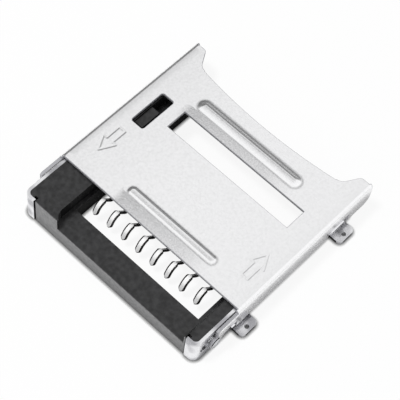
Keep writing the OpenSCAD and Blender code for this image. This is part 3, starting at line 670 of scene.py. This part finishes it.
def rolled_stainless():
    """Rolled stainless sheet: pale and satin, with a faint mottle. It is painted greyer, in
    patches of noise, as painted shade and painted dark reflections: before and round the beads, and down
    the flanges."""
    made, tree = new_material("rolled_stainless")
    marks = mottle(tree, rolled_mark, 4.0)
    drawn = node(tree, "ShaderNodeAttribute", attribute_name="drawn").outputs["Fac"]
    haze = node(tree, "ShaderNodeMapRange", {"From Min": 0.42, "From Max": 0.7, "To Max": haze_level},
                {"Value": marks}).outputs["Result"]
    shade_and_haze = node(tree, "ShaderNodeMath", {}, {0: drawn, 1: mottle(tree, shade_mark, 2.0), 2: haze},
                   operation="MULTIPLY_ADD").outputs[0]
    # Painted shade: the grey that the sheet is mixed towards where it carries painted shade and painted
    # dark reflections.
    tone = node(tree, "ShaderNodeMix", {"A": linear("#FBFBFC"), "B": linear("#808082")},
                {"Factor": shade_and_haze}, data_type="RGBA")
    rough = node(tree, "ShaderNodeMapRange", {"To Min": 0.2, "To Max": 0.28}, {"Value": marks})
    bump = node(tree, "ShaderNodeBump", {"Strength": 1.0, "Distance": rolled_depth * MM},
                {"Height": marks})
    shader = node(tree, "ShaderNodeBsdfPrincipled", {"Metallic": 1.0},
                  {"Base Color": tone.outputs["Result"], "Roughness": rough.outputs["Result"],
                   "Normal": bump.outputs["Normal"]})
    node(tree, "ShaderNodeOutputMaterial", {}, {"Surface": shader.outputs[0]})
    return made


def drawn_share(flat):
    """The share of painted shade and painted dark reflection on the sheet: 1 before a bead's
    left end, less towards its right end, nothing past either, and falling forwards with
    exp(-distance ** 4). Lines that fall with exp(-distance ** 2) run round its foot and along
    its crest, a little forward. The flanges are painted darker from a height downwards."""
    share = np.zeros(len(flat))
    for bead, reach, width in ((near_bead, near_reach, near_bead_w), (far_bead, far_reach, far_bead_w)):
        left, right, y = bead
        before = (y - width / 2 - flat[:, 1]) / reach
        along = (right - flat[:, 0]) / (right - left)
        level = right_level + (1 - right_level) * along
        level *= np.clip(along / right_end, 0, 1) * np.clip((1 - along) / past_left_end + 1, 0, 1)
        share = np.maximum(share, (before > 0) * level * np.exp(-before ** 4))
        from_foot = (bead_distance(flat, bead, width) - width / 2) / foot_line_w
        share = np.maximum(share, np.exp(-from_foot ** 2))
        from_crest_shade = bead_distance(flat, (left, right, y - crest_shade_forward * width), width) / (crest_shade_w * width)
        share = np.maximum(share, crest_shade_level * np.exp(-from_crest_shade ** 2))
    flange_shade = np.clip((np.abs(flat[:, 0]) - fold_place(flange_shade_z)) / flange_shade_fade, 0, 1)
    return np.maximum(share, flange_shade_level * flange_shade)


def add_cover():
    """The folded blank, its face and its inner side, with its rim in the second material."""
    flat, triangles = cut_blank(cover_loops(), cover_fill(), outline_clear)
    points = np.concatenate([folded(flat, 0), folded(flat, cover_t)])
    piece = new_piece("cover_folding", points, sheet_faces(triangles, len(flat)))
    # Painted shade and painted dark reflections, as a share at each point.
    drawn = piece.data.attributes.new("drawn", "FLOAT", "POINT")
    drawn.data.foreach_set("value", np.tile(drawn_share(flat), 2).astype(np.float32))
    on_rim = np.arange(len(piece.data.polygons)) >= 2 * len(triangles)
    piece.data.polygons.foreach_set("material_index", on_rim.astype(np.int32))
    return piece


cover = add_cover()
cover.data.materials.append(rolled_stainless())
# Sheared stainless: the cut edge is duller and darker than the rolled face.
cover.data.materials.append(worked_metal("sheared_stainless", "#B0B0B4", 0.42, 0.3, 0.08, 0.004))
round_edges(cover, cover_edge_r, cover_least_turn, "OFFSET", 1)
finish_piece(cover, "lid", "cover")


# Picture: the camera looks down past the hinge end, from a place worked out from the socket's
# straight edges in the photograph. The socket lies on white paper in a white room, with a
# soft lamp at the front left, and four grey cards give the metal its darker reflections.
camera_azimuth, camera_elevation, camera_roll = 36.309, 60.12, 8.203
camera_distance = 83.478 * MM
camera_target = Vector((0, cad_low.y + 7.0 * MM, 1.0 * MM))
photo_px, focal_px, principal_px, film_w = 400, 1495.0, (-3.478, -1.629), 36
floor_size, floor_gap, paper_seen, paper_mirrored = 2, 0.02, 0.9, 0.15
foot_shadow_r, foot_shadow_depth = 0.22, 3.0
room_white, plain_level = "#FFFFFF", 0.45
lamp_place, lamp_size, lamp_watts = (-0.06, -0.065, 0.235), 0.045, 0.4
# Each card: the way to its middle, the cosines where it starts and is full, and its colour.
cards = (((-0.3, 0.93, 0.2), 0.8, 0.93, "#8A8A8A"), ((-0.88, 0.4, 0.26), 0.68, 0.86, "#7C7C7C"),
         ((-0.3, 0.08, 0.95), 0.985, 0.996, "#C4C4C4"), ((0.06, 0.44, 0.9), 0.935, 0.965, "#EEEEEE"))
scene.view_settings.view_transform = "Standard"


def add_camera():
    """The view axis from azimuth and elevation, with the picture's axes rolled about it."""
    az, el, roll = (math.radians(a) for a in (camera_azimuth, camera_elevation, camera_roll))
    back = Vector((math.sin(az) * math.cos(el), -math.cos(az) * math.cos(el), math.sin(el)))
    level = (-back).cross(Vector((0, 0, 1))).normalized()
    upright = level.cross(-back)
    right = level * math.cos(roll) + upright * math.sin(roll)
    up = upright * math.cos(roll) - level * math.sin(roll)
    data = bpy.data.cameras.new("camera")
    data.sensor_width = film_w
    data.lens = focal_px * data.sensor_width / photo_px
    data.shift_x = -principal_px[0] / photo_px
    data.shift_y = principal_px[1] / photo_px
    data.clip_start, data.clip_end = 1 * MM, 10
    camera = bpy.data.objects.new("camera", data)
    turn = Matrix((right, up, back)).transposed().to_4x4()
    camera.matrix_world = Matrix.Translation(camera_target + back * camera_distance) @ turn
    scene.collection.objects.link(camera)
    scene.camera = camera


def white_sheet():
    """White paper: nearly all glow to the camera, and to reflections mostly plain paper with
    the socket's shadow on it. The glow falls by the power foot_shadow_depth of how open the
    paper lies, which leaves a narrow dark line where the socket stands on it."""
    made, tree = new_material("white_paper")
    path = node(tree, "ShaderNodeLightPath").outputs
    mirrored = node(tree, "ShaderNodeMath", {1: paper_mirrored}, {0: path["Is Glossy Ray"]},
                    operation="MULTIPLY")
    seen = node(tree, "ShaderNodeMath", {}, {0: path["Is Camera Ray"], 1: path["Is Transmission Ray"]},
                operation="MAXIMUM")
    direct = node(tree, "ShaderNodeMath", {1: paper_seen}, {0: seen.outputs[0]}, operation="MULTIPLY")
    share = node(tree, "ShaderNodeMath", {}, {0: direct.outputs[0], 1: mirrored.outputs[0]},
                 operation="MAXIMUM")
    paper = node(tree, "ShaderNodeBsdfDiffuse", {"Color": linear("#F2F2F2")})
    openness = node(tree, "ShaderNodeAmbientOcclusion", {"Distance": foot_shadow_r * MM}, samples=8)
    strength = node(tree, "ShaderNodeMath", {1: foot_shadow_depth}, {0: openness.outputs["AO"]},
                    operation="POWER")
    glow = node(tree, "ShaderNodeEmission", {"Color": (1, 1, 1, 1)}, {"Strength": strength.outputs[0]})
    both = node(tree, "ShaderNodeMixShader", {}, {0: share.outputs[0], 1: paper.outputs[0],
                                                  2: glow.outputs[0]})
    node(tree, "ShaderNodeOutputMaterial", {}, {"Surface": both.outputs[0]})
    return made


def add_floor():
    """The sheet of paper, a little below the socket's feet."""
    bpy.ops.mesh.primitive_plane_add(size=floor_size, location=(0, 0, cad_low.z - floor_gap * MM))
    floor = bpy.context.object
    floor.name = "floor"
    floor.data.materials.append(white_sheet())
    floor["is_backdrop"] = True


def add_room():
    """Plain light all round. The camera and the metal see a white room with soft grey cards,
    each fading in between two cosines of the angle from its middle."""
    world = bpy.data.worlds.new("white_room")
    world.use_nodes = True
    tree = world.node_tree
    tree.nodes.clear()
    direction = node(tree, "ShaderNodeTexCoord").outputs["Generated"]
    tone = node(tree, "ShaderNodeRGB").outputs[0]
    tone.default_value = linear(room_white)
    for middle, edge, full, grey in cards:
        toward = node(tree, "ShaderNodeVectorMath", {1: Vector(middle).normalized()}, {0: direction},
                      operation="DOT_PRODUCT").outputs["Value"]
        card = node(tree, "ShaderNodeMapRange", {"From Min": edge, "From Max": full},
                    {"Value": toward}, interpolation_type="SMOOTHSTEP")
        tone = node(tree, "ShaderNodeMix", {"B": linear(grey)},
                    {"Factor": card.outputs["Result"], "A": tone}, data_type="RGBA").outputs["Result"]
    picture = node(tree, "ShaderNodeBackground", {"Strength": 1.0}, {"Color": tone})
    plain = node(tree, "ShaderNodeBackground", {"Color": (1, 1, 1, 1), "Strength": plain_level})
    path = node(tree, "ShaderNodeLightPath").outputs
    straight = node(tree, "ShaderNodeMath", {}, {0: path["Is Camera Ray"], 1: path["Is Transmission Ray"]},
                    operation="MAXIMUM")
    seen = node(tree, "ShaderNodeMath", {}, {0: straight.outputs[0], 1: path["Is Glossy Ray"]},
                operation="MAXIMUM")
    both = node(tree, "ShaderNodeMixShader", {}, {0: seen.outputs[0], 1: plain.outputs[0],
                                                  2: picture.outputs[0]})
    node(tree, "ShaderNodeOutputWorld", {}, {"Surface": both.outputs[0]})
    scene.world = world


def add_lamp(name, place, size, watts):
    """A square soft lamp that faces the socket."""
    data = bpy.data.lights.new(name, "AREA")
    data.size, data.energy = size, watts
    lamp = bpy.data.objects.new(name, data)
    lamp.location = place
    lamp.rotation_euler = (-Vector(place)).to_track_quat("-Z", "Y").to_euler()
    lamp.visible_glossy = False
    scene.collection.objects.link(lamp)


add_camera()
add_floor()
add_room()
add_lamp("overhead_softbox", lamp_place, lamp_size, lamp_watts)

low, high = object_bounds()
